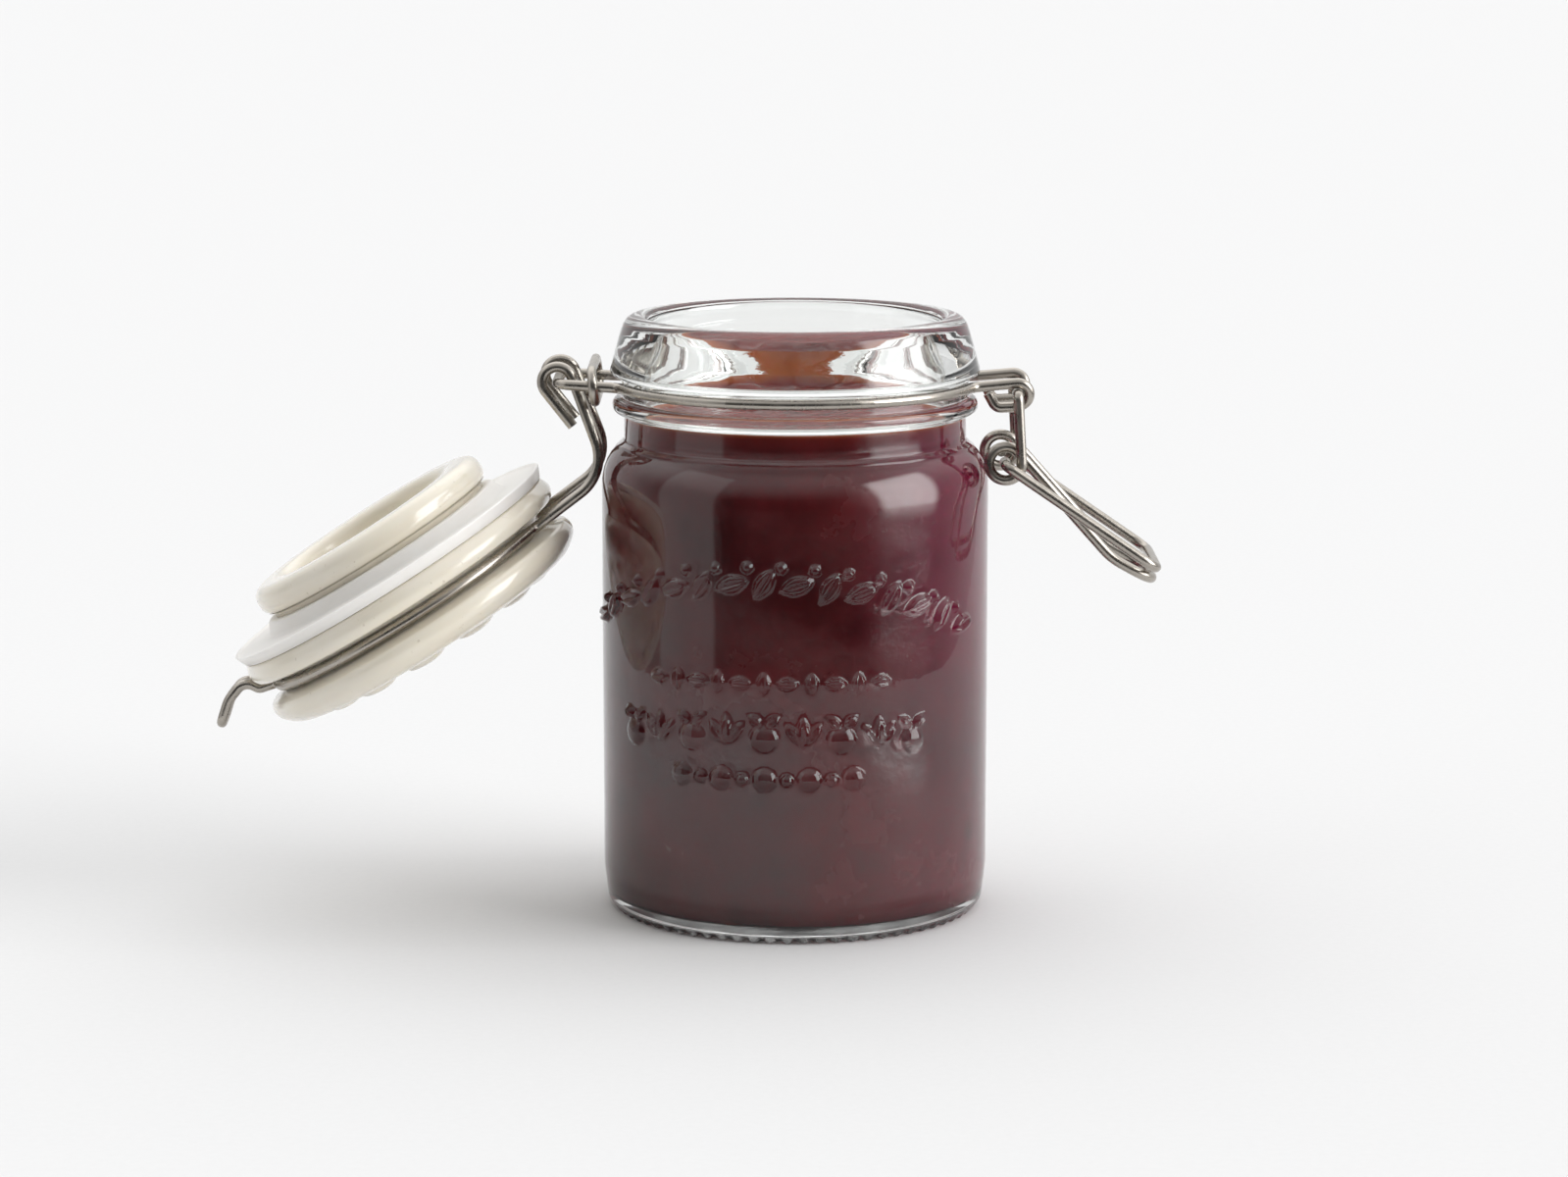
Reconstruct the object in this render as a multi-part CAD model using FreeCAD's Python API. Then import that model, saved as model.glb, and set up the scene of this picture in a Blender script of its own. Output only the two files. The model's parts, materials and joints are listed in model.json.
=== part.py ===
"""Bail clamp jar, standing with its lid hanging open.

Frame: origin at the centre of the standing ring, on the surface the jar stands on. +Z is up,
+X runs from the hinge to the latch, and -Y is the side with the relief panel. Millimetres.

Every wire is one bent rod: a list of corners joined by straight runs, with a tangent bend at each
corner. The lid's pieces are drawn closed, over the jar's mouth, and swung open about the hinge bar.
"""

import math
import os

import FreeCAD
import Part

# ---------------------------------------------------------------- driving dimensions

WIRE = 1.9  # thickness of all three working wires
CLIP_WIRE = 1.7
BEND_LIMIT = 0.9995  # keeps two bends that share a run just short of meeting
FIT = 0.05  # gap left where a wire or the jam lies against a wall

# Jar: outside radii and heights
BODY_R = 35.2
STANDING_R = 33.0  # outer edge of the standing ring
STANDING_INNER_R = 27.5
PUSH_UP = 1.1  # height of the hollow under the base
HEEL_R = 34.7
HEEL_Z = 1.6
SHOULDER_CORNER_Z = 82.5  # where body side and shoulder slope would meet
SHOULDER_ROUND = 10.6
NECK_R = 30.9
NECK_BOTTOM_Z = 85.9
BEAD_R = 33.0
BEAD_Z = 92.1
BEAD_HALF_HEIGHT = 1.35
GROOVE_Z = 95.9  # height of the neck wire
RIM_CORNER_R = 33.6
RIM_CORNER_Z = 97.7
CREST_R = 30.5
CREST_Z = 108.2

# Jar: inside
MOUTH_R = 26.5
NECK_BORE_R = 27.4
BORE_R = 32.3
FLOOR_Z = 2.6
JAM_LEVEL_Z = 90.9

# Hinge loop of the neck wire
HINGE_X = -42.6
HINGE_Z = 96.6
HINGE_HALF_WIDTH = 8.9
HINGE_BAR_BEND = 3.0
NECK_BEND = 2.6

# Clip ring round the two strands of the hinge loop
CLIP_X = -36.0
CLIP_Z = 96.3
CLIP_HALF_HEIGHT = 2.9
CLIP_TILT = 6.0  # degrees, top towards the hinge bar

# Eyes of the neck wire
EYE_HALF_GAP = 7.9  # from the middle plane to each eye
EYE_X = 39.7
EYE_RADIUS = 2.2
EYE_TOP_Z = 96.75
EYE_TURN_PITCH = 2.0  # how far the tail is from the strand, sideways
EYE_TAIL = [(36.0, 92.0), (34.6, 94.6)]

# Lid, drawn closed: its own heights are counted up from the lid wire's plane
LID_X = 1.9  # the clamp draws the closed lid a little towards the latch
LID_WIRE_Z = 116.4
LID_OPEN_ANGLE = 212.0  # how far it swings from closed to hanging
LID_GROOVE_R = 27.4
DOME_R = 32.4
DOME_HEIGHT = 9.8
FLANGE_R = 32.5
FLANGE_UNDER = -6.2
PLUG_LIP_R = 23.8
PLUG_WAIST_R = 22.0
PLUG_INNER_R = 16.9
PLUG_UNDER = -16.7
LIP_TOP = -11.6
RECESS_UNDER = -9.2
NOTCH_WIDTH = 2.0

GASKET_R = 32.6
GASKET_THICKNESS = 1.85  # where the jar's rim presses it
GASKET_SWELL = 10.6  # how far below the wire it stands beside the plug's waist
GASKET_LIP = 8.5  # the same, at its outer edge

# Lid wire
HOOK_HALF_GAP = 5.8
HOOK_RADIUS = 2.75
HOOK_END = 218.0  # degrees round the bar, where the tail leaves it
HOOK_TAIL = 7.9
STRAND_HALF_GAP = 9.4  # where the strands reach the lid
KNEE_BEND = 8.0
STRAND_KNEE = (8.9, -16.0)  # from the hinge bar, with the lid hanging
TONGUE_HALF_GAP = 1.7
TONGUE_LEAVE = (32.2, -0.9)  # from the lid's middle: reach and height
TONGUE_DIP = (33.85, -3.55)
TONGUE_RISE = (38.15, -2.05)
TONGUE_TIP = (41.75, 0.95)

# Lever and draw loop
PIVOT_X = 39.8
PIVOT_Z = 94.7
COIL_X = 37.65
COIL_Z = 82.3
COIL_RADIUS = 2.95
ARM_HALF_GAP = 9.9
COIL_TURN_PITCH = 2.0
LEVER_KNEE = (56.9, 65.0)
LEVER_END = (64.5, 60.8)
LEVER_END_BEND = 4.5
LOOP_HALF_WIDTH = 12.05
LOOP_LENGTH = 33.0  # coil centre to the bar
LOOP_ANGLE = -34.5  # degrees, from +X towards +Z
LOOP_BEND = 3.2
LOOP_PIN_END = 6.7

# ---------------------------------------------------------------- derived places

LEVER_HALF_GAP = ARM_HALF_GAP - COIL_TURN_PITCH
NECK_WIRE_R = NECK_R + 0.45 + FIT + WIRE / 2
GROOVE_R = NECK_WIRE_R - WIRE / 2 - FIT
LID_WIRE_R = LID_GROOVE_R + FIT + WIRE / 2


# ---------------------------------------------------------------- rods and outlines


def vec(x, y, z):
    return FreeCAD.Vector(x, y, z)


def polar(radius, degrees):
    """The two coordinates of a point at this radius and angle."""
    turn = math.radians(degrees)
    return radius * math.cos(turn), radius * math.sin(turn)


def bent_path(corners, closed=False):
    """Edges through [(point, bend radius), ...]: straight runs joined by tangent arcs."""
    points = [point for point, _ in corners]
    count = len(points)
    bends = []
    for i, (point, radius) in enumerate(corners):
        if radius == 0 or (not closed and i in (0, count - 1)):
            bends.append((point, None, point))
            continue
        back = (points[i - 1] - point).normalize()
        ahead = (points[(i + 1) % count] - point).normalize()
        half = back.getAngle(ahead) / 2
        reach = radius / math.tan(half)
        middle = (back + ahead).normalize() * (radius / math.sin(half) - radius)
        bends.append((point + back * reach, point + middle, point + ahead * reach))
    edges = []
    for i, (start, middle, end) in enumerate(bends):
        if middle is not None:
            edges.append(Part.Arc(start, middle, end).toShape())
        if i + 1 < count or closed:
            following = bends[(i + 1) % count][0]
            if end.distanceToPoint(following) > 1e-6:
                edges.append(Part.LineSegment(end, following).toShape())
    return edges


def rod(corners, thickness, closed=False):
    """A round wire bent along the corners."""
    edges = bent_path(corners, closed)
    spine = Part.Wire(Part.__sortEdges__(edges))
    first = edges[0]
    start = first.valueAt(first.FirstParameter)
    along = first.tangentAt(first.FirstParameter)
    section = Part.Wire(Part.makeCircle(thickness / 2, start, along))
    solid = spine.makePipeShell([section], True, False)
    length = sum(edge.Length for edge in edges)
    expected = length * math.pi * (thickness / 2) ** 2
    if not solid.isValid() or abs(solid.Volume - expected) > 0.01 * expected:
        raise ValueError(f"rod is {solid.Volume:.1f} mm3, expected {expected:.1f}")
    return solid


def arc_corners(radius, start, end, place, steps):
    """Corners whose bends run into one arc; place(a, b, fraction) makes each 3-D point."""
    step = (end - start) / steps
    reach = radius / math.cos(math.radians(step) / 2)
    corners = []
    for i in range(steps):
        share = (i + 0.5) / steps
        corners.append((place(*polar(reach, start + step * (i + 0.5)), share), radius * BEND_LIMIT))
    return corners


def tangent_turn(radius, across, up):
    """Degrees round a circle at which a straight run leaves it for a point given from its centre."""
    return math.degrees(math.atan2(up, across) + math.acos(radius / math.hypot(across, up)))


def turned(outline, middle_x=0.0, middle_z=0.0):
    """A solid turned about a vertical axis from [(radius, height, corner radius), ...]."""
    corners = [(vec(r, 0, z), bend) for r, z, bend in outline]
    face = Part.Face(Part.Wire(Part.__sortEdges__(bent_path(corners, closed=True))))
    solid = face.revolve(vec(0, 0, 0), vec(0, 0, 1), 360)
    solid.translate(vec(middle_x, 0, middle_z))
    return solid


def mirrored(corners):
    """The same corners on the other side of the middle plane, in reverse order."""
    return [(vec(p.x, -p.y, p.z), bend) for p, bend in reversed(corners)]


# ---------------------------------------------------------------- jar


def bore_outline(clearance, top_z):
    """The inside of the jar from its axis at the floor up to top_z, shrunk by the clearance."""
    floor = FLOOR_Z + clearance
    bore = BORE_R - clearance
    neck = NECK_BORE_R - clearance
    return [
        (0, floor + 1.2, 0),
        (24, floor, 30),
        (bore, floor, 3.5),
        (bore, 80.0, 8.0),
        (neck, 86.5, 3.0),
        (neck, top_z, 0),
    ]


def jar_glass():
    outside = [
        (0, PUSH_UP, 0),
        (STANDING_INNER_R - 3.5, PUSH_UP - 0.6, 4),
        (STANDING_INNER_R, 0, 0),
        (STANDING_R, 0, 0.6),
        (HEEL_R, HEEL_Z, 2.5),
        (BODY_R, 7.0, 10),
        (BODY_R, SHOULDER_CORNER_Z, SHOULDER_ROUND),
        (NECK_R, NECK_BOTTOM_Z, 0.6),
        (NECK_R, BEAD_Z - BEAD_HALF_HEIGHT, 0.6),
        (BEAD_R, BEAD_Z - BEAD_HALF_HEIGHT + 0.1, 1.1),
        (BEAD_R, BEAD_Z + BEAD_HALF_HEIGHT - 0.1, 1.1),
        (GROOVE_R, BEAD_Z + BEAD_HALF_HEIGHT, 0.4),
        (GROOVE_R, RIM_CORNER_Z - 0.3, 0.3),
        (RIM_CORNER_R, RIM_CORNER_Z, 0.5),
        (CREST_R, CREST_Z, 2.0),
        (MOUTH_R, CREST_Z, 1.6),
        (MOUTH_R, 102.0, 20),
    ]
    inside = list(reversed(bore_outline(0, 97.0)))
    inside[0] = (NECK_BORE_R, 97.0, 20)
    return turned(outside + inside)


def jam_fill():
    outline = bore_outline(FIT, JAM_LEVEL_Z)
    return turned(outline + [(0, JAM_LEVEL_Z, 0)])


def neck_wire():
    """Eye, strand to the neck, round the groove, hinge loop, and back the same way."""
    ring_start, ring_end = 20.0, 157.0  # degrees from the latch, where it lies in the groove

    def on_ring(a, b, share):
        return vec(a, -b, GROOVE_Z)

    def tangent_at(degrees, y):
        """Where the ring's tangent at this angle crosses the strand's line."""
        across, beside = polar(1, degrees)
        return (NECK_WIRE_R + y * beside) / across

    def on_eye(a, b, share):
        y = -EYE_HALF_GAP + (1 - share) * EYE_TURN_PITCH
        return vec(EYE_X + a, y, EYE_TOP_Z - EYE_RADIUS + b)

    tail_y = -EYE_HALF_GAP + EYE_TURN_PITCH
    (bend_x, bend_z), (end_x, end_z) = EYE_TAIL
    half = [(vec(end_x, tail_y, end_z), 0), (vec(bend_x, tail_y, bend_z), 1.6)]
    half += arc_corners(EYE_RADIUS, -100, 90, on_eye, 4)
    y = -EYE_HALF_GAP
    half.append((vec(tangent_at(ring_start, y), y, GROOVE_Z), NECK_BEND))
    half += arc_corners(NECK_WIRE_R, ring_start, ring_end, on_ring, 3)
    y = -HINGE_HALF_WIDTH
    half.append((vec(tangent_at(ring_end, y), y, GROOVE_Z), NECK_BEND))
    half.append((vec(HINGE_X, y, HINGE_Z), HINGE_BAR_BEND))
    return rod(half + mirrored(half), WIRE)


def hinge_clip_ring():
    """A flat oval ring standing across the two strands of the hinge loop."""
    end = HINGE_HALF_WIDTH - 0.3 + CLIP_HALF_HEIGHT
    places = [(-end, 1), (-end, -1), (end, -1), (end, 1)]
    corners = [
        (vec(0, y, side * CLIP_HALF_HEIGHT), CLIP_HALF_HEIGHT * BEND_LIMIT) for y, side in places
    ]
    ring = rod(corners, CLIP_WIRE, closed=True)
    ring.rotate(vec(0, 0, 0), vec(0, 1, 0), -CLIP_TILT)
    ring.translate(vec(CLIP_X, 0, CLIP_Z))
    return ring


# ---------------------------------------------------------------- lid


def opened(shape):
    """Swing a closed-lid shape about the hinge bar to where it hangs."""
    shape.rotate(vec(HINGE_X, 0, HINGE_Z), vec(0, 1, 0), -LID_OPEN_ANGLE)
    return shape


def hanging_to_closed(x, y, z):
    """A point given from the hinge bar with the lid hanging, moved to the closed pose."""
    turn = FreeCAD.Rotation(vec(0, 1, 0), LID_OPEN_ANGLE)
    return vec(HINGE_X, 0, HINGE_Z) + turn.multVec(vec(x, y, z))


def ceramic_lid():
    outline = [
        (0, DOME_HEIGHT, 0),
        (16.0, DOME_HEIGHT - 0.5, 90),
        (29.6, 8.0, 4.0),
        (DOME_R, 4.6, 2.2),
        (DOME_R - 0.9, 2.5, 1.0),
        (LID_GROOVE_R, 1.05, 0.4),
        (LID_GROOVE_R, -1.05, 0.4),
        (FLANGE_R - 0.9, -2.2, 1.0),
        (FLANGE_R, -3.7, 1.6),
        (FLANGE_R - 1.0, FLANGE_UNDER, 0.8),
        (PLUG_WAIST_R, FLANGE_UNDER, 0.8),
        (PLUG_WAIST_R, LIP_TOP, 1.0),
        (PLUG_LIP_R, LIP_TOP - 0.2, 1.6),
        (PLUG_LIP_R, PLUG_UNDER, 2.3),
        (PLUG_INNER_R, PLUG_UNDER, 1.6),
        (PLUG_INNER_R - 0.6, RECESS_UNDER, 2.0),
        (0, RECESS_UNDER + 0.8, 0),
    ]
    lid = turned(outline)
    for side in (-1, 1):
        notch = Part.makeBox(4, NOTCH_WIDTH, 3.6)
        notch.translate(vec(side * DOME_R - 2, -NOTCH_WIDTH / 2, 0.6))
        lid = lid.cut(notch).Solids[0]
    lid.translate(vec(LID_X, 0, LID_WIRE_Z))
    return opened(lid)


def gasket():
    top = FLANGE_UNDER - FIT
    inner = PLUG_WAIST_R + FIT
    pressed = top - GASKET_THICKNESS
    outline = [
        (inner, top, 1.0),
        (inner, -GASKET_SWELL, 0.4),
        (inner + 1.8, -GASKET_SWELL, 0.8),
        (inner + 3.0, pressed, 1.0),
        (GASKET_R - 1.1, pressed, 0.3),
        (GASKET_R - 0.5, -GASKET_LIP, 0.2),
        (GASKET_R, -GASKET_LIP + 0.2, 0.2),
        (GASKET_R - 0.9, top, 0.3),
    ]
    return opened(turned(outline, LID_X, LID_WIRE_Z))


def lid_wire():
    """Tail, hook, knee, strand, round the lid's groove, tongue, and back the same way."""
    ring_start, ring_end = 155.0, 8.0  # degrees from the tongue, where it lies in the groove

    def on_ring(a, b, share):
        return vec(LID_X + a, -b, LID_WIRE_Z)

    def tangent_at(degrees, y):
        across, beside = polar(1, degrees)
        return LID_X + (LID_WIRE_R + y * beside) / across

    def on_hook(a, b, share):
        return hanging_to_closed(a, -HOOK_HALF_GAP, b)

    tail_x, tail_z = polar(HOOK_RADIUS, HOOK_END)
    along_x, along_z = polar(HOOK_TAIL, HOOK_END + 90)
    knee_x, knee_z = STRAND_KNEE
    half = [(hanging_to_closed(tail_x + along_x, -HOOK_HALF_GAP, tail_z + along_z), 0)]
    hook_start = tangent_turn(HOOK_RADIUS, knee_x, knee_z)
    half += arc_corners(HOOK_RADIUS, HOOK_END, hook_start, on_hook, 4)
    half.append((hanging_to_closed(knee_x, -STRAND_HALF_GAP + 0.8, knee_z), KNEE_BEND))
    y = -STRAND_HALF_GAP
    half.append((vec(tangent_at(ring_start, y), y, LID_WIRE_Z), NECK_BEND))
    half += arc_corners(LID_WIRE_R, ring_start, ring_end, on_ring, 3)
    y = -TONGUE_HALF_GAP
    half.append((vec(tangent_at(ring_end, y), y, LID_WIRE_Z), 1.5))
    tongue = [
        (TONGUE_LEAVE, 1.2),
        (TONGUE_DIP, 2.4),
        (TONGUE_RISE, 5.0),
        (TONGUE_TIP, TONGUE_HALF_GAP * BEND_LIMIT),
    ]
    half += [(vec(LID_X + reach, y, LID_WIRE_Z + rise), bend) for (reach, rise), bend in tongue]
    return opened(rod(half + mirrored(half), WIRE))


# ---------------------------------------------------------------- latch


def lever():
    """Pin in the eye, arm, one-turn coil, bent handle, and back the same way."""
    leave = tangent_turn(COIL_RADIUS, LEVER_KNEE[0] - COIL_X, LEVER_KNEE[1] - COIL_Z)

    def on_coil(a, b, share):
        y = -ARM_HALF_GAP + share * COIL_TURN_PITCH
        return vec(COIL_X + a, y, COIL_Z + b)

    half = [
        (vec(PIVOT_X, -EYE_HALF_GAP + 1.6, PIVOT_Z), 0),
        (vec(PIVOT_X, -ARM_HALF_GAP, PIVOT_Z), 1.0),
    ]
    half += arc_corners(COIL_RADIUS, 0, leave - 360, on_coil, 6)
    half.append((vec(LEVER_KNEE[0], -LEVER_HALF_GAP, LEVER_KNEE[1]), 12.0))
    half.append((vec(LEVER_END[0], -LEVER_HALF_GAP, LEVER_END[1]), LEVER_END_BEND))
    return rod(half + mirrored(half), WIRE)


def draw_loop():
    """Pin in the coil, straight leg, bar, and back the same way."""
    along_x, along_z = polar(LOOP_LENGTH, LOOP_ANGLE)
    half = [
        (vec(COIL_X, -LOOP_PIN_END, COIL_Z), 0),
        (vec(COIL_X, -LOOP_HALF_WIDTH, COIL_Z), 1.4),
        (vec(COIL_X + along_x, -LOOP_HALF_WIDTH, COIL_Z + along_z), LOOP_BEND),
    ]
    return rod(half + mirrored(half), WIRE)


# ---------------------------------------------------------------- output

NODES = {
    "jar_glass": jar_glass,
    "jam_fill": jam_fill,
    "neck_wire": neck_wire,
    "hinge_clip_ring": hinge_clip_ring,
    "ceramic_lid": ceramic_lid,
    "gasket": gasket,
    "lid_wire": lid_wire,
    "lever": lever,
    "draw_loop": draw_loop,
}


def main():
    os.makedirs("parts", exist_ok=True)
    for name, make in NODES.items():
        shape = make()
        shape.exportStep(f"parts/{name}.step")
        print(f"{name}: {shape.ShapeType} {shape.Volume / 1000:.2f} cm3, valid {shape.isValid()}")


main()
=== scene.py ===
"""Bail clamp jar: pressed glass, jam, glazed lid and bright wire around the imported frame.

Outlines are in millimetres, as (radius, height, corner radius). Everything built from them is in metres.
"""

import json
import math

import bmesh
import bpy
import numpy as np
from mathutils import Matrix, Vector


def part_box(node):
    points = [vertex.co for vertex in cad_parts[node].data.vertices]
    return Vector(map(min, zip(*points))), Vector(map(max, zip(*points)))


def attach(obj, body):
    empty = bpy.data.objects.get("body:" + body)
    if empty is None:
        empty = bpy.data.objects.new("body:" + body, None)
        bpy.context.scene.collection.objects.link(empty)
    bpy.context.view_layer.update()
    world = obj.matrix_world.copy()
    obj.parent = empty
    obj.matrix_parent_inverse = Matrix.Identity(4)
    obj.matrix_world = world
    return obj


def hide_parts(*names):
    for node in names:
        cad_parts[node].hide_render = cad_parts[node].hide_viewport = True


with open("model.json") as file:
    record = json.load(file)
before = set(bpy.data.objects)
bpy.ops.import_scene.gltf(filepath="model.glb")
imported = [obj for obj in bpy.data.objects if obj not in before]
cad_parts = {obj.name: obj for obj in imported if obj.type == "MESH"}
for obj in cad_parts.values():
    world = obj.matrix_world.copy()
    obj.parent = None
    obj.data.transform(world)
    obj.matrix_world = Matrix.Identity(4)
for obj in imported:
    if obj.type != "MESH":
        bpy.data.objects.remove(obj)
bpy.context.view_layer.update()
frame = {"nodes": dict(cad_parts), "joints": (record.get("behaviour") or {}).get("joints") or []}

MM = 0.001
JOINTS = {joint["name"]: joint for joint in frame["joints"]}

# ---------------------------------------------------------------- sizes, in mm

BODY_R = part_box("jar_glass")[1].x / MM
CREST_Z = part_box("jar_glass")[1].z / MM
JAM_LEVEL_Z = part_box("jam_fill")[1].z / MM

GLASS_R = BODY_R - 0.2  # the body's plain wall, from which the relief stands out
MOUTH_R = 26.5
NECK_BORE_R = 27.4
BORE_R = 32.3
FLOOR_Z = 2.6
EVEN_Z = 6.0  # the glass is even up to here
WAVY_Z = 16.0  # and wanders freely from here up
WALL_WAVE = 0.05  # how far the outside of the glass wanders
BORE_WAVE = 0.22  # how far the inside of the glass wanders
WETTED = 0.12  # how far the jam reaches into the glass, so that no air shows between them

RELIEF_TURN = -9.0  # degrees from the front towards the hinge, the middle of the relief
RELIEF_HEIGHT = 1.1
RELIEF_EDGE = 0.62  # how wide the relief's rounded edges are
RELIEF_REACH = 76.0  # degrees each side of its middle
RELIEF_LOW_Z = 25.0
RELIEF_HIGH_Z = 71.0
RELIEF_STEP = 0.3  # mesh spacing across the relief

SCALLOPS = 70  # round the standing ring
SCALLOP_LIFT = 0.45
SCALLOP_COLUMNS = 4  # mesh columns to a scallop, behind the relief

LID_CENTRE = (1.9, 116.4)  # X and Z of the lid's middle at its wire, with the lid closed
LID_GROOVE_R = 27.4
DOME_R = 32.4
DOME_HEIGHT = 9.8
DOME_BEADS = 13
DOME_BEAD_R = 2.8
DOME_BEAD_RING = 22.0  # radius of the ring that the beads stand on
DOME_BEAD_SQUEEZE = 0.72  # makes each bead longer round the ring than across it
DOME_RELIEF = 1.1
LID_WAVE = 0.06  # how far the glazed body below the dome wanders
NOTCH_HALF_WIDTH = 0.9
NOTCH_DEPTH = 1.1
FLANGE_R = 32.5
FLANGE_UNDER = -6.2
PLUG_LIP_R = 23.8
PLUG_WAIST_R = 22.0
PLUG_INNER_R = 16.9
PLUG_UNDER = -16.7
LIP_TOP = -11.6
RECESS_UNDER = -9.2
GASKET_R = 32.6
GASKET_TOP = -6.25
GASKET_PRESSED = -8.1  # its underside where the jar's rim presses it
GASKET_SWELL = -10.6  # its underside beside the plug's waist
GASKET_LIP = -8.5  # its underside at the outer edge
GASKET_WAVE = 0.12  # how far its outer edge wanders

# ---------------------------------------------------------------- stage, in metres

PAPER_NEAR = 0.27  # radius of the paper's round near edge
PAPER_FAR = 12.0
PAPER_TURN = 6  # degrees between the corners of the round edge
BACKDROP = 0.93  # how bright the camera sees it
CAMERA_PLACE = (-0.002, -0.781, 0.193)
CAMERA_DOWN = 9.8  # degrees below level

# Soft boxes round the jar: direction of the middle, then half width, half height and soft edge
# at a distance of 1, then strength.
SOFT_BOXES = (
    ((0.93, -0.30, 0.30), 0.38, 0.42, 0.08, 7.0),  # the bright window on the latch side
    ((-0.93, -0.37, 0.15), 0.36, 0.85, 0.04, 0.8),  # a tall, faint panel on the hinge side
    ((0.93, -0.37, 0.0), 0.30, 0.30, 0.10, 0.16),  # a faint glow low on the latch side
)


# ---------------------------------------------------------------- mesh helpers


STRAIGHT = 1e-4  # radians; a corner that turns less than twice this stays a plain point
WELD = 1e-7  # metres; points closer than this become one


def rounded(corners, closed=False, arc_step=9.0, run_step=None):
    """Points along an outline of straight runs with a round at each corner."""
    points = [np.array(corner[:2], float) for corner in corners]
    count = len(points)
    path = []
    for i, corner in enumerate(corners):
        here = points[i]
        radius = corner[2]
        if radius == 0 or (not closed and i in (0, count - 1)):
            path.append(here)
            continue
        back = points[i - 1] - here
        ahead = points[(i + 1) % count] - here
        back /= np.linalg.norm(back)
        ahead /= np.linalg.norm(ahead)
        half = math.acos(np.clip(back @ ahead, -1, 1)) / 2
        if math.pi / 2 - half < STRAIGHT:
            path.append(here)
            continue
        middle = back + ahead
        centre = here + middle / np.linalg.norm(middle) * radius / math.sin(half)
        start = here + back * radius / math.tan(half)
        end = here + ahead * radius / math.tan(half)
        turn = math.pi - 2 * half
        steps = max(2, math.ceil(math.degrees(turn) / arc_step))
        first = start - centre
        last = end - centre
        for k in range(steps + 1):
            share = k / steps
            spoke = first * math.sin((1 - share) * turn) + last * math.sin(share * turn)
            path.append(centre + spoke / math.sin(turn))
    if closed:
        path.append(path[0])
    if run_step:
        path = subdivided(path, run_step)
    return np.array(path)


def subdivided(path, run_step):
    """The same path with no run longer than run_step."""
    finer = [path[0]]
    for start, end in zip(path, path[1:]):
        parts = max(1, math.ceil(np.linalg.norm(end - start) / run_step))
        finer += [start + (end - start) * k / parts for k in range(1, parts + 1)]
    return finer


def lathe(name, path, angles, shape=None):
    """A closed mesh turned about Z. shape(radius, turn, height) may return a new radius and height."""
    turn, step = np.meshgrid(angles, np.arange(len(path)), indexing="ij")
    radius = path[step, 0]
    height = path[step, 1]
    if shape is not None:
        radius, height = shape(radius, turn, height)
    places = np.stack([radius * np.sin(turn), -radius * np.cos(turn), height], axis=-1) * MM
    columns, rows = turn.shape
    index = np.arange(columns * rows).reshape(columns, rows)
    following = np.roll(index, -1, axis=0)
    quads = np.stack(
        [index[:, :-1], following[:, :-1], following[:, 1:], index[:, 1:]], axis=-1
    ).reshape(-1, 4)
    mesh = bpy.data.meshes.new(name)
    mesh.from_pydata(places.reshape(-1, 3).tolist(), [], quads.tolist())
    tidied = bmesh.new()
    tidied.from_mesh(mesh)
    bmesh.ops.remove_doubles(tidied, verts=tidied.verts, dist=WELD)
    bmesh.ops.dissolve_degenerate(tidied, edges=tidied.edges, dist=WELD)
    bmesh.ops.recalc_face_normals(tidied, faces=tidied.faces)
    tidied.to_mesh(mesh)
    tidied.free()
    mesh.shade_smooth()
    piece = bpy.data.objects.new(name, mesh)
    bpy.context.scene.collection.objects.link(piece)
    return piece


def even_angles(count):
    return np.arange(count) * 2 * math.pi / count


def smooth_step(low, high, value):
    share = np.clip((value - low) / (high - low), 0, 1)
    return share * share * (3 - 2 * share)


def ripple(turn, height, seed, scale):
    """Slow waves from -1 to 1 over a wall, the same every run."""
    waves = 6
    total = np.zeros_like(turn)
    draw = np.random.default_rng(seed)
    for _ in range(waves):
        around = draw.integers(2, 8)
        along = draw.uniform(0.03, 0.16) * scale
        total += np.sin(around * turn + along * height + draw.uniform(0, 2 * math.pi))
    return total / waves


def bore_waves(turn, height):
    """How far the inside of the glass wanders at each place, which the jam follows."""
    return ripple(turn, height, seed=8, scale=2.0) * BORE_WAVE


# ---------------------------------------------------------------- relief motifs


def leaf(across, along, length, width, tilt):
    """Height from 0 to 1 of a pointed leaf with a vein, at places given from its middle."""
    turn = math.radians(tilt)
    a = across * math.cos(turn) + along * math.sin(turn)
    b = along * math.cos(turn) - across * math.sin(turn)
    half_width = width / 2 * np.clip(1 - (2 * a / length) ** 2, 0, 1)
    inside = smooth_step(0, RELIEF_EDGE, half_width - np.abs(b))
    vein = 0.5 * (1 - smooth_step(0.05, 0.4, np.abs(b)))
    return inside * (1 - vein)


def bead(across, along, radius):
    """Height from 0 to 1 of a round bead."""
    reach = np.hypot(across, along) / radius
    return np.sqrt(np.clip(1 - reach**2, 0, 1))


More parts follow.
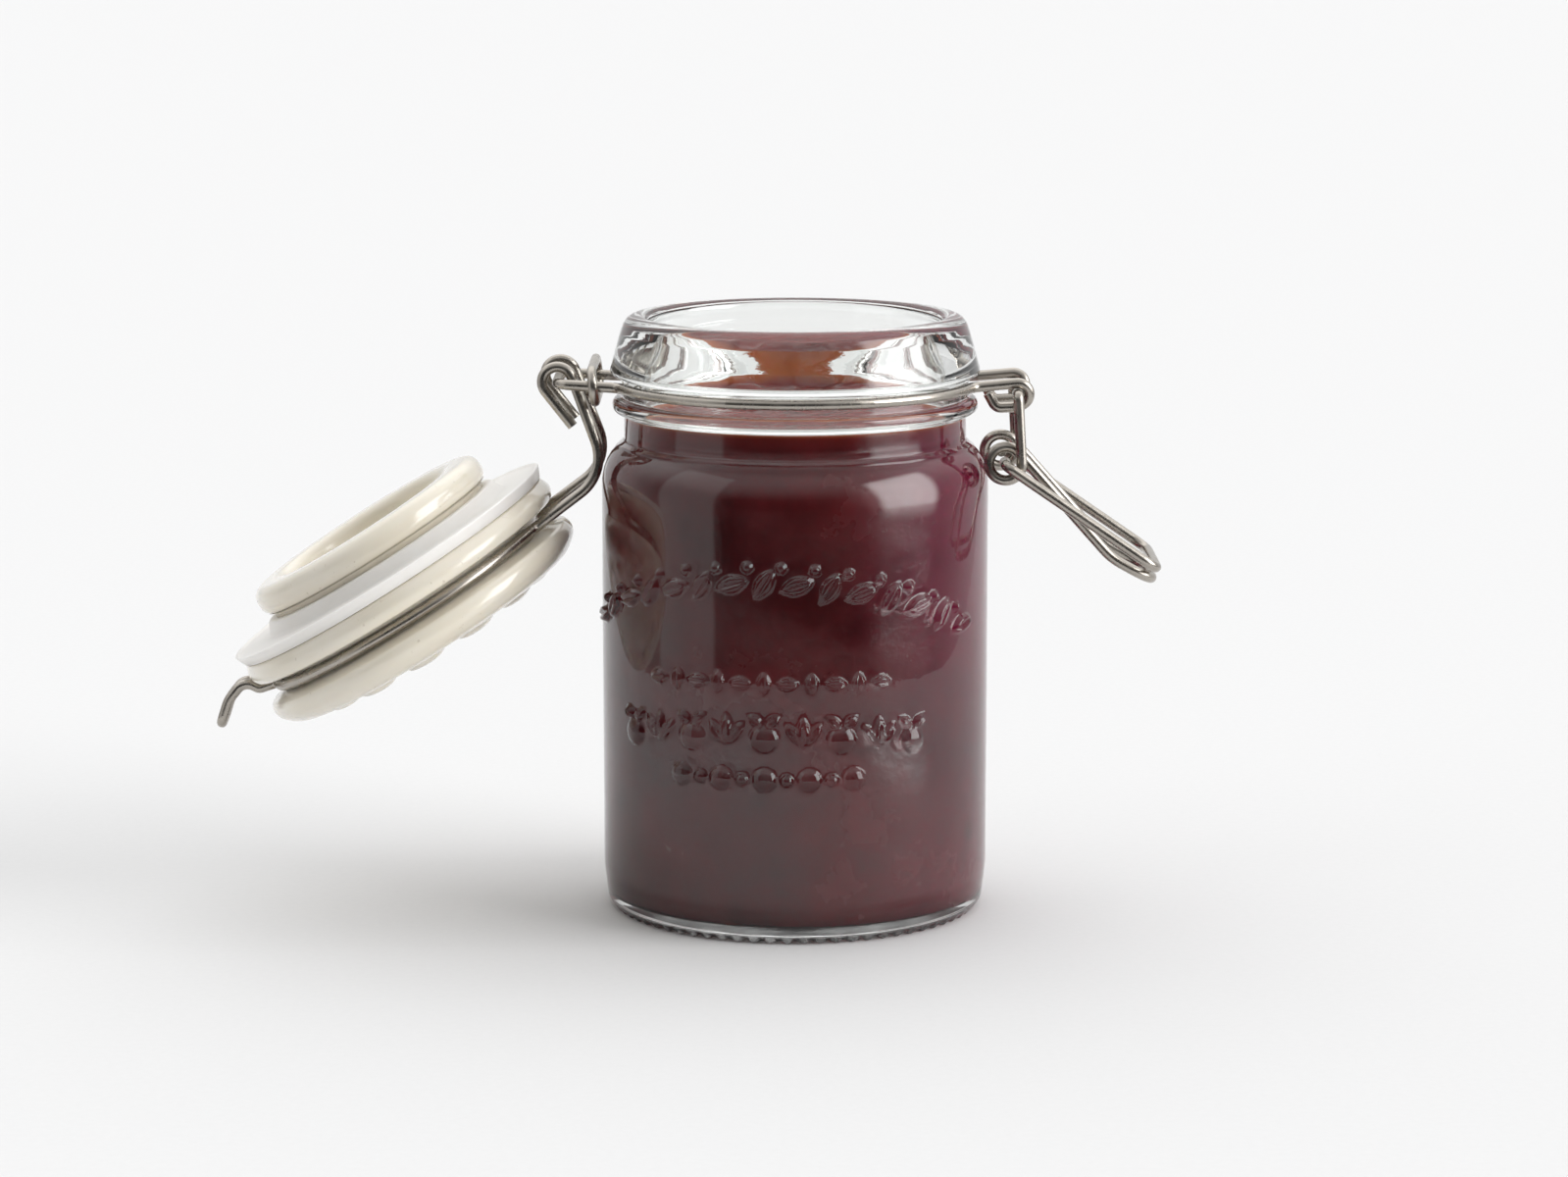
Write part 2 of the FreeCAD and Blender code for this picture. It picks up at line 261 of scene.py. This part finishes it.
def jar_relief(turn, height):
    """An arched garland of leaves over three level rows, on the front of the body."""
    arc = (turn - math.radians(RELIEF_TURN)) * GLASS_R
    relief = np.zeros_like(arc)

    def garland(count, half_angle, low_z, rise, draw):
        """Motifs side by side on an arc that starts at low_z and is higher by rise at its middle."""
        for i in range(count):
            share = 2 * i / (count - 1) - 1
            middle = math.radians(half_angle * share) * GLASS_R
            z = low_z + rise * (1 - share**2)
            motif = draw(i, arc - middle, height - z)
            np.maximum(relief, motif, out=relief)

    garland(15, 66, 55.2, 9.6, lambda i, a, b: leaf(a, b, 6.6, 3.4, 58 if i % 2 else 18))
    garland(14, 63, 58.4, 9.4, lambda i, a, b: bead(a, b, 1.0))
    garland(11, 34, 46.9, 0.2, lambda i, a, b: leaf(a, b, 4.6, 2.8, 90 if i % 2 else 0))
    garland(9, 45, 36.8, 1.3, lambda i, a, b: sprig(a, b) if i % 2 else berry(a, b))
    garland(9, 26, 29.9, 0.0, lambda i, a, b: bead(a, b, 1.2 if i % 2 else 2.1))
    return relief


def berry(across, along):
    """A round fruit with two small leaves on top."""
    fruit = bead(across, along + 0.9, 2.5)
    left = leaf(across + 1.5, along - 2.4, 3.6, 2.2, 140)
    right = leaf(across - 1.5, along - 2.4, 3.6, 2.2, 40)
    return np.maximum(fruit, np.maximum(left, right))


def sprig(across, along):
    """Three leaves fanned from one stem."""
    left = leaf(across + 1.7, along - 0.1, 5.4, 2.3, 125)
    right = leaf(across - 1.7, along - 0.1, 5.4, 2.3, 55)
    return np.maximum(leaf(across, along - 0.6, 6.2, 2.4, 90), np.maximum(left, right))


# ---------------------------------------------------------------- jar and jam


def bore_corners(growth, top_z):
    """The inside of the jar from its axis at the floor up to top_z, grown by this much."""
    floor = FLOOR_Z - growth
    return [
        (0, floor + 1.2, 0),
        (24, floor, 30),
        (BORE_R + growth, floor, 5.0),
        (BORE_R + growth, 80.0, 8.0),
        (NECK_BORE_R + growth, 86.5, 3.0),
        (NECK_BORE_R + growth, top_z, 0),
    ]


def jar_angles():
    """Fine columns across the relief, coarser ones behind that still show the scallops."""
    middle = math.radians(RELIEF_TURN)
    reach = math.radians(RELIEF_REACH)
    front = math.ceil(2 * reach * GLASS_R / RELIEF_STEP)
    fine = middle - reach + np.arange(front) * 2 * reach / front
    behind = 2 * math.pi - 2 * reach
    back = math.ceil(behind / (2 * math.pi) * SCALLOPS * SCALLOP_COLUMNS)
    coarse = middle + reach + np.arange(back) * behind / back
    return np.concatenate([fine, coarse])


def jar_glass():
    outside = [
        (0, 1.1, 0),
        (24.0, 0.5, 4),
        (27.5, 0, 0.3),
        (33.0, 0, 0.6),
        (34.3, 1.7, 2.5),
        (GLASS_R, 8.0, 12),
        (GLASS_R, 82.5, 10.6),
        (30.9, 85.9, 0.8),
        (30.9, 90.75, 0.7),
        (33.0, 90.85, 1.15),
        (33.0, 93.35, 1.15),
        (31.35, 93.45, 0.4),
        (31.35, 97.4, 0.4),
        (33.6, 97.7, 0.9),
        (31.5, 105.2, 6),
        (30.4, CREST_Z, 2.6),
        (MOUTH_R, CREST_Z, 1.5),
        (MOUTH_R, 102.0, 20),
    ]
    neck_top = 97.0  # where the bore starts to narrow towards the mouth
    inside = list(reversed(bore_corners(0, neck_top)))
    inside[0] = (NECK_BORE_R, neck_top, 20)
    path = rounded(outside + inside, arc_step=10, run_step=2.5)
    # The path is finest where the relief is.
    low = np.argmax((path[:, 1] > RELIEF_LOW_Z) & (path[:, 0] > BORE_R + 1))
    high = np.argmax((path[:, 1] > RELIEF_HIGH_Z) & (path[:, 0] > BORE_R + 1))
    fine = subdivided([path[low], path[high]], RELIEF_STEP)
    path = np.concatenate([path[:low], fine, path[high + 1:]])

    def shape(radius, turn, height):
        """The relief and waves move the wall in or out; the scallops lift the standing ring."""
        outer = smooth_step(BORE_R + 0.8, BORE_R + 1.5, radius)
        wall = smooth_step(EVEN_Z, WAVY_Z, height) * (1 - smooth_step(76, 82, height))
        drawn = np.where(outer > 0.5, jar_relief(turn, height), 0) * wall
        slow = ripple(turn, height, seed=3, scale=1.0) * WALL_WAVE * outer
        inner = (1 - outer) * (radius > 20) * bore_waves(turn, height)
        ring = smooth_step(27, 31, radius) * (1 - smooth_step(0.2, 1.2, height))
        lift = SCALLOP_LIFT * ring * (0.5 + 0.5 * np.cos(SCALLOPS * turn))
        return radius + (drawn * RELIEF_HEIGHT + slow + inner) * wall, height + lift

    return lathe("glass_jar", path, jar_angles(), shape)


def jam_surface():
    """The jam, a little larger than the bore, with a stirred top that climbs the wall."""
    corners = bore_corners(WETTED, JAM_LEVEL_Z)
    corners[-1] = (NECK_BORE_R + WETTED, JAM_LEVEL_Z, 0.7)
    corners.append((NECK_BORE_R - 3.0, JAM_LEVEL_Z - 1.0, 5.0))
    corners.append((0, JAM_LEVEL_Z - 1.2, 0))
    path = rounded(corners, arc_step=7, run_step=1.4)

    def shape(radius, turn, height):
        """Lumps shape the top away from the wall, and the side follows the inside of the glass."""
        top = smooth_step(JAM_LEVEL_Z - 2.5, JAM_LEVEL_Z - 1.4, height)
        calm = 1 - smooth_step(NECK_BORE_R - 3, NECK_BORE_R, radius)
        x = radius * np.sin(turn)
        y = radius * np.cos(turn)
        lumps = np.sin(0.31 * x + 1.2) * np.sin(0.36 * y) + 0.6 * np.sin(0.52 * x - 0.33 * y)
        lumps += 0.35 * np.sin(0.9 * x + 0.8 * y) * np.sin(1.1 * y - 0.7 * x)
        wall = (radius > BORE_R - 2) & (height < 80)
        spread = bore_waves(turn, height) * wall * smooth_step(EVEN_Z, WAVY_Z, height)
        return radius + spread, height + top * calm * (0.55 * lumps - 0.6)

    return lathe("jam", path, even_angles(220), shape)


# ---------------------------------------------------------------- lid


def hang(piece):
    """Move a piece built about the lid's own middle to where the lid hangs."""
    hinge = JOINTS["lid_hinge"]
    pivot = Matrix.Translation(Vector(hinge["pos_m"]))
    swing = Matrix.Rotation(-math.radians(hinge["range_deg"][1]), 4, Vector(hinge["axis"]))
    closed = Matrix.Translation(Vector((LID_CENTRE[0], 0, LID_CENTRE[1])) * MM)
    piece.data.transform(pivot @ swing @ pivot.inverted() @ closed)
    return piece


def lid_relief(radius, turn):
    """A ring of long beads on the dome."""
    relief = np.zeros_like(radius)
    for middle in even_angles(DOME_BEADS):
        across = radius * np.sin(turn - middle)
        along = radius * np.cos(turn - middle) - DOME_BEAD_RING
        raised = bead(across * DOME_BEAD_SQUEEZE, along, DOME_BEAD_R)
        np.maximum(relief, raised, out=relief)
    return relief


def ceramic_lid():
    outline = [
        (0, DOME_HEIGHT - 0.75, 0),
        (16.0, DOME_HEIGHT - 1.2, 90),
        (29.3, 7.6, 5.0),
        (DOME_R, 4.5, 2.6),
        (DOME_R - 0.9, 2.4, 1.0),
        (LID_GROOVE_R, 1.05, 0.5),
        (LID_GROOVE_R, -1.05, 0.5),
        (FLANGE_R - 0.9, -2.2, 1.2),
        (FLANGE_R, -3.7, 1.8),
        (FLANGE_R - 1.0, FLANGE_UNDER, 0.9),
        (PLUG_WAIST_R, FLANGE_UNDER, 0.8),
        (PLUG_WAIST_R, LIP_TOP, 1.2),
        (PLUG_LIP_R, LIP_TOP - 0.2, 1.8),
        (PLUG_LIP_R, PLUG_UNDER, 2.4),
        (PLUG_INNER_R, PLUG_UNDER, 1.9),
        (PLUG_INNER_R - 0.6, RECESS_UNDER, 2.2),
        (0, RECESS_UNDER + 0.8, 0),
    ]
    path = rounded(outline, arc_step=8, run_step=0.6)

    def shape(radius, turn, height):
        """Beads stand on the dome, the sides wander a little, and two notches cut the dome's edge."""
        dome = smooth_step(5.5, 6.5, height)
        raised = lid_relief(radius, turn) * dome * DOME_RELIEF
        sides = smooth_step(10, 24, radius) * (1 - dome)
        hand = ripple(turn, height, seed=21, scale=2.5) * LID_WAVE * sides
        edge = smooth_step(29.5, 31.5, radius) * smooth_step(0.8, 1.8, height)
        edge *= 1 - smooth_step(3.4, 4.6, height)
        dip = notch_at(turn, radius) * edge * NOTCH_DEPTH
        return radius + hand - dip, height + raised

    return hang(lathe("lid_ceramic", path, even_angles(300), shape))


def notch_at(turn, radius):
    """Depth from 0 to 1 of the lid's two small notches, at the tongue and at the hinge."""
    across = np.cos(turn) * radius
    near = np.abs(np.sin(turn)) > 0.9
    return np.where(near, np.exp(-((across / NOTCH_HALF_WIDTH) ** 4)), 0)


def gasket():
    inner = PLUG_WAIST_R + 0.05
    outline = [
        (inner, GASKET_TOP, 1.0),
        (inner, GASKET_SWELL, 0.4),
        (inner + 1.8, GASKET_SWELL, 0.8),
        (inner + 3.0, GASKET_PRESSED, 1.0),
        (GASKET_R - 1.1, GASKET_PRESSED, 0.3),
        (GASKET_R - 0.5, GASKET_LIP, 0.2),
        (GASKET_R, GASKET_LIP + 0.2, 0.2),
        (GASKET_R - 0.9, GASKET_TOP, 0.3),
    ]
    path = rounded(outline, closed=True, arc_step=20, run_step=1.5)

    def shape(radius, turn, height):
        outer = smooth_step(27, 32, radius)
        return radius + ripple(turn, height, seed=5, scale=1.0) * GASKET_WAVE * outer, height

    return hang(lathe("seal_ring", path, even_angles(240), shape))


# ---------------------------------------------------------------- node helpers


class Nodes:
    """Short calls for building a node tree."""

    def __init__(self, tree):
        self.tree = tree
        tree.nodes.clear()

    def add(self, kind, inputs=None, **settings):
        """A node with these settings; an input is a value, or a socket to link."""
        node = self.tree.nodes.new(kind)
        for name, value in settings.items():
            setattr(node, name, value)
        for key, value in (inputs or {}).items():
            if isinstance(value, bpy.types.NodeSocket):
                self.tree.links.new(value, node.inputs[key])
            else:
                node.inputs[key].default_value = value
        return node

    def math(self, operation, first, second=0.0, clamp=False):
        node = self.add("ShaderNodeMath", {0: first, 1: second}, operation=operation, use_clamp=clamp)
        return node.outputs[0]

    def ramp(self, value, stops):
        """Colours by value; stops are (place, colour)."""
        node = self.add("ShaderNodeValToRGB", {0: value})
        elements = node.color_ramp.elements
        while len(elements) < len(stops):
            elements.new(0.5)
        for element, (place, colour) in zip(elements, stops):
            element.position = place
            element.color = (*colour, 1)
        return node.outputs[0]

    def spread(self, value, low, high, to_low, to_high):
        node = self.add(
            "ShaderNodeMapRange",
            {"Value": value, "From Min": low, "From Max": high, "To Min": to_low, "To Max": to_high},
            interpolation_type="SMOOTHSTEP",
        )
        return node.outputs[0]

    def mix(self, share, first, second):
        node = self.add("ShaderNodeMix", {0: share, 6: first, 7: second}, data_type="RGBA")
        return node.outputs[2]

    def noise(self, place, scale, detail=4.0, roughness=0.5):
        inputs = {"Vector": place, "Scale": scale, "Detail": detail, "Roughness": roughness}
        return self.add("ShaderNodeTexNoise", inputs).outputs[0]


def new_material(name):
    """A new material, its node helper, its shader, and object coordinates in metres."""
    made = bpy.data.materials.new(name)
    made.use_nodes = True
    nodes = Nodes(made.node_tree)
    shader = nodes.add("ShaderNodeBsdfPrincipled")
    output = nodes.add("ShaderNodeOutputMaterial")
    made.node_tree.links.new(shader.outputs[0], output.inputs["Surface"])
    place = nodes.add("ShaderNodeTexCoord").outputs["Object"]
    return made, nodes, shader, place


def put(nodes, shader, **values):
    """Set or link the shader's sockets; names use _ for a space."""
    for name, value in values.items():
        socket = shader.inputs[name.replace("_", " ")]
        if isinstance(value, bpy.types.NodeSocket):
            nodes.tree.links.new(value, socket)
        else:
            socket.default_value = value


def bumped(nodes, height, strength, distance):
    inputs = {"Height": height, "Strength": strength, "Distance": distance}
    return nodes.add("ShaderNodeBump", inputs).outputs[0]


# ---------------------------------------------------------------- materials


def glass_material():
    made, nodes, shader, place = new_material("clear_pressed_glass")
    waves = nodes.noise(place, 90.0, detail=2.0)
    fine = nodes.noise(place, 1400.0, detail=2.0)
    surface = nodes.math("ADD", waves, nodes.math("MULTIPLY", fine, 0.04))
    put(
        nodes,
        shader,
        Base_Color=(0.965, 0.982, 0.97, 1),
        Roughness=nodes.spread(fine, 0.35, 0.75, 0.0, 0.012),
        IOR=1.52,
        Specular_IOR_Level=1.0,
        Transmission_Weight=1.0,
        Normal=bumped(nodes, surface, 0.1, 0.0004),
    )
    return made


def jam_top(nodes, place, height):
    """Masks of the brighter jam near its top, and of the orange edge where it meets the glass."""
    level = JAM_LEVEL_Z * MM
    wall = NECK_BORE_R * MM
    skin = nodes.spread(height, level - 0.0041, level - 0.0004, 0.0, 0.5)
    level_part = nodes.add("ShaderNodeVectorMath", {0: place, 1: (1, 1, 0)}, operation="MULTIPLY")
    reach = nodes.add("ShaderNodeVectorMath", {0: level_part.outputs[0]}, operation="LENGTH")
    climb = nodes.spread(height, level - 0.0017, level - 0.0004, 0.0, 0.6)
    beside = nodes.spread(reach.outputs["Value"], wall - 0.0034, wall - 0.0006, 0.0, 1.0)
    return skin, nodes.math("MULTIPLY", climb, beside)


def fruit_bits(nodes, place):
    """The mask and the colours of scattered bits of fruit."""
    cells = nodes.add("ShaderNodeTexVoronoi", {"Vector": place, "Scale": 105.0, "Randomness": 1.0})
    pick = nodes.add("ShaderNodeSeparateColor", {0: cells.outputs["Color"]})
    rare = nodes.math("GREATER_THAN", pick.outputs[0], 0.9)
    near = nodes.spread(cells.outputs["Distance"], 0.1, 0.34, 1.0, 0.0)
    mask = nodes.math("MULTIPLY", nodes.math("MULTIPLY", rare, near), 0.75)
    colours = nodes.ramp(
        pick.outputs[1],
        [(0.0, (0.32, 0.07, 0.025)), (0.5, (0.11, 0.01, 0.008)), (1.0, (0.012, 0.002, 0.004))],
    )
    return mask, colours


def jam_material():
    made, nodes, shader, place = new_material("dark_fruit_jam")
    axes = nodes.add("ShaderNodeSeparateXYZ", {0: place})
    clouds = nodes.noise(place, 42.0, detail=6.0, roughness=0.6)
    base = nodes.ramp(
        clouds,
        [(0.3, (0.055, 0.004, 0.0055)), (0.55, (0.125, 0.007, 0.010)), (0.8, (0.22, 0.014, 0.02))],
    )
    # Painted light: the jam turns a brighter magenta towards the latch (+X) side and higher up, a
    # painted glow standing in for light shining through the jam from that side.
    latch_side_glow = nodes.spread(axes.outputs["X"], 0.006, 0.033, 0.0, 0.8)
    high = nodes.spread(axes.outputs["Z"], 0.03, 0.07, 0.25, 1.0)
    glow = nodes.mix(nodes.math("MULTIPLY", latch_side_glow, high), base, (0.25, 0.010, 0.058, 1))
    skin, rim = jam_top(nodes, place, axes.outputs["Z"])
    glow = nodes.mix(skin, glow, (0.26, 0.02, 0.01, 1))
    glow = nodes.mix(rim, glow, (0.50, 0.16, 0.035, 1))
    bit, bit_colour = fruit_bits(nodes, place)
    put(
        nodes,
        shader,
        Base_Color=nodes.mix(bit, glow, bit_colour),
        Roughness=nodes.spread(clouds, 0.3, 0.7, 0.1, 0.3),
        IOR=1.42,
        Subsurface_Weight=0.35,
        Subsurface_Radius=(0.9, 0.12, 0.16),
        Subsurface_Scale=0.004,
        Normal=bumped(nodes, clouds, 0.35, 0.001),
    )
    return made


def steel_material():
    made, nodes, shader, place = new_material("bright_drawn_steel")
    drawn = nodes.noise(place, 2600.0, detail=3.0, roughness=0.6)
    patches = nodes.noise(place, 240.0, detail=4.0, roughness=0.6)
    put(
        nodes,
        shader,
        Base_Color=nodes.ramp(patches, [(0.3, (0.39, 0.36, 0.32)), (0.7, (0.46, 0.425, 0.38))]),
        Metallic=1.0,
        Roughness=nodes.spread(patches, 0.3, 0.75, 0.24, 0.34),
        Normal=bumped(nodes, drawn, 0.05, 0.00003),
    )
    return made


def ceramic_material():
    made, nodes, shader, place = new_material("cream_glaze")
    clouds = nodes.noise(place, 55.0, detail=4.0)
    specks = nodes.noise(place, 900.0, detail=2.0)
    base = nodes.ramp(clouds, [(0.3, (0.85, 0.79, 0.66)), (0.7, (0.90, 0.845, 0.735))])
    speckled = nodes.mix(nodes.spread(specks, 0.68, 0.78, 0.0, 0.4), base, (0.5, 0.42, 0.3, 1))
    put(
        nodes,
        shader,
        Base_Color=speckled,
        Roughness=nodes.spread(clouds, 0.3, 0.7, 0.12, 0.24),
        Subsurface_Weight=0.12,
        Subsurface_Radius=(1.0, 0.8, 0.55),
        Subsurface_Scale=0.0015,
        Coat_Weight=0.6,
        Coat_Roughness=0.05,
        Coat_IOR=1.5,
        Normal=bumped(nodes, clouds, 0.1, 0.0006),
    )
    return made


def rubber_material():
    made, nodes, shader, place = new_material("translucent_seal_rubber")
    clouds = nodes.noise(place, 160.0, detail=3.0)
    put(
        nodes,
        shader,
        Base_Color=nodes.ramp(clouds, [(0.3, (0.90, 0.86, 0.81)), (0.7, (0.94, 0.905, 0.86))]),
        Roughness=nodes.spread(clouds, 0.3, 0.7, 0.3, 0.45),
        Subsurface_Weight=0.6,
        Subsurface_Radius=(1.0, 0.95, 0.9),
        Subsurface_Scale=0.004,
        Normal=bumped(nodes, clouds, 0.15, 0.0004),
    )
    return made


def dress(piece, made):
    """Give a piece this one material."""
    piece.data.materials.clear()
    piece.data.materials.append(made)
    return piece


# ---------------------------------------------------------------- stage, light and camera


def floor():
    """Pale paper with a round near edge, so that only the lower half of the jar reflects it."""
    made, nodes, shader, place = new_material("pale_floor")
    grain = nodes.noise(place, 700.0, detail=3.0)
    put(
        nodes,
        shader,
        Base_Color=nodes.ramp(grain, [(0.0, (0.725, 0.725, 0.727)), (1.0, (0.755, 0.755, 0.757))]),
        Roughness=0.9,
        Specular_IOR_Level=0.1,
    )
    mesh = bpy.data.meshes.new("floor")
    turns = [math.radians(degrees) for degrees in range(180, 361, PAPER_TURN)]
    corners = [(PAPER_NEAR * math.cos(turn), PAPER_NEAR * math.sin(turn), 0) for turn in turns]
    far_half_width = PAPER_NEAR + PAPER_FAR / 5
    corners += [(far_half_width, PAPER_FAR, 0), (-far_half_width, PAPER_FAR, 0)]
    mesh.from_pydata(corners, [], [tuple(range(len(corners)))])
    table = bpy.data.objects.new("floor", mesh)
    bpy.context.scene.collection.objects.link(table)
    table.data.materials.append(made)


def soft_box(nodes, direction, middle, half_width, half_height, edge):
    """A mask of 1 inside a rectangle of the sky, seen from the object."""
    middle = Vector(middle).normalized()
    side = middle.cross(Vector((0, 0, 1))).normalized()
    up = side.cross(middle)

    def along(axis):
        node = nodes.add("ShaderNodeVectorMath", {0: direction, 1: tuple(axis)}, operation="DOT_PRODUCT")
        return node.outputs["Value"]

    ahead = along(middle)
    depth = nodes.math("MAXIMUM", ahead, 0.001)
    masks = [nodes.math("GREATER_THAN", ahead, 0.0)]
    for axis, half in ((side, half_width), (up, half_height)):
        offset = nodes.math("ABSOLUTE", nodes.math("DIVIDE", along(axis), depth))
        masks.append(nodes.spread(offset, half - edge, half + edge, 1.0, 0.0))
    return nodes.math("MULTIPLY", nodes.math("MULTIPLY", masks[0], masks[1]), masks[2])


def studio():
    """A white backdrop for the camera; soft boxes in a dim room for light and reflections."""
    world = bpy.data.worlds.new("studio")
    bpy.context.scene.world = world
    world.use_nodes = True
    nodes = Nodes(world.node_tree)
    direction = nodes.add("ShaderNodeTexCoord").outputs["Generated"]
    axes = nodes.add("ShaderNodeSeparateXYZ", {0: direction})
    room = nodes.spread(axes.outputs["Y"], -0.4, 0.75, 0.05, 1.0)
    overhead = nodes.spread(axes.outputs["Z"], 0.2, 0.85, 0.0, 1.5)
    behind = nodes.spread(axes.outputs["Y"], -0.35, 0.35, 0.6, 1.0)
    total = nodes.math("ADD", room, nodes.math("MULTIPLY", overhead, behind))
    for middle, half_width, half_height, edge, strength in SOFT_BOXES:
        mask = soft_box(nodes, direction, middle, half_width, half_height, edge)
        total = nodes.math("ADD", total, nodes.math("MULTIPLY", mask, strength))
    lit = nodes.add("ShaderNodeBackground", {"Color": total, "Strength": 0.76})
    backdrop = (BACKDROP, BACKDROP, BACKDROP, 1)
    seen = nodes.add("ShaderNodeBackground", {"Color": backdrop, "Strength": 1.0})
    camera_ray = nodes.add("ShaderNodeLightPath").outputs["Is Camera Ray"]
    mixed = nodes.add("ShaderNodeMixShader", {0: camera_ray, 1: lit.outputs[0], 2: seen.outputs[0]})
    output = nodes.add("ShaderNodeOutputWorld")
    world.node_tree.links.new(mixed.outputs[0], output.inputs["Surface"])


def camera():
    data = bpy.data.cameras.new("camera")
    data.lens = 100
    data.sensor_width = 36
    made = bpy.data.objects.new("camera", data)
    made.location = CAMERA_PLACE
    made.rotation_euler = (math.radians(90 - CAMERA_DOWN), 0, 0)
    bpy.context.scene.collection.objects.link(made)
    bpy.context.scene.camera = made


# ---------------------------------------------------------------- the jar

steel = steel_material()
for node in ("neck_wire", "hinge_clip_ring", "lid_wire", "lever", "draw_loop"):
    for material_slot in frame["nodes"][node].material_slots:
        material_slot.material = steel

PIECES = (
    (jar_glass, glass_material, "jar", "jar_glass", "clear_glass"),
    (jam_surface, jam_material, "jar", "jam_fill", "jam"),
    (ceramic_lid, ceramic_material, "lid", "ceramic_lid", "glazed_ceramic"),
    (gasket, rubber_material, "lid", "gasket", "sealing_rubber"),
)
for make, make_material, body, replaced, slot in PIECES:
    part = dress(make(), make_material())
    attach(part, body)
    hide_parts(replaced)

floor()
studio()
camera()
bpy.context.scene.view_settings.view_transform = "Standard"
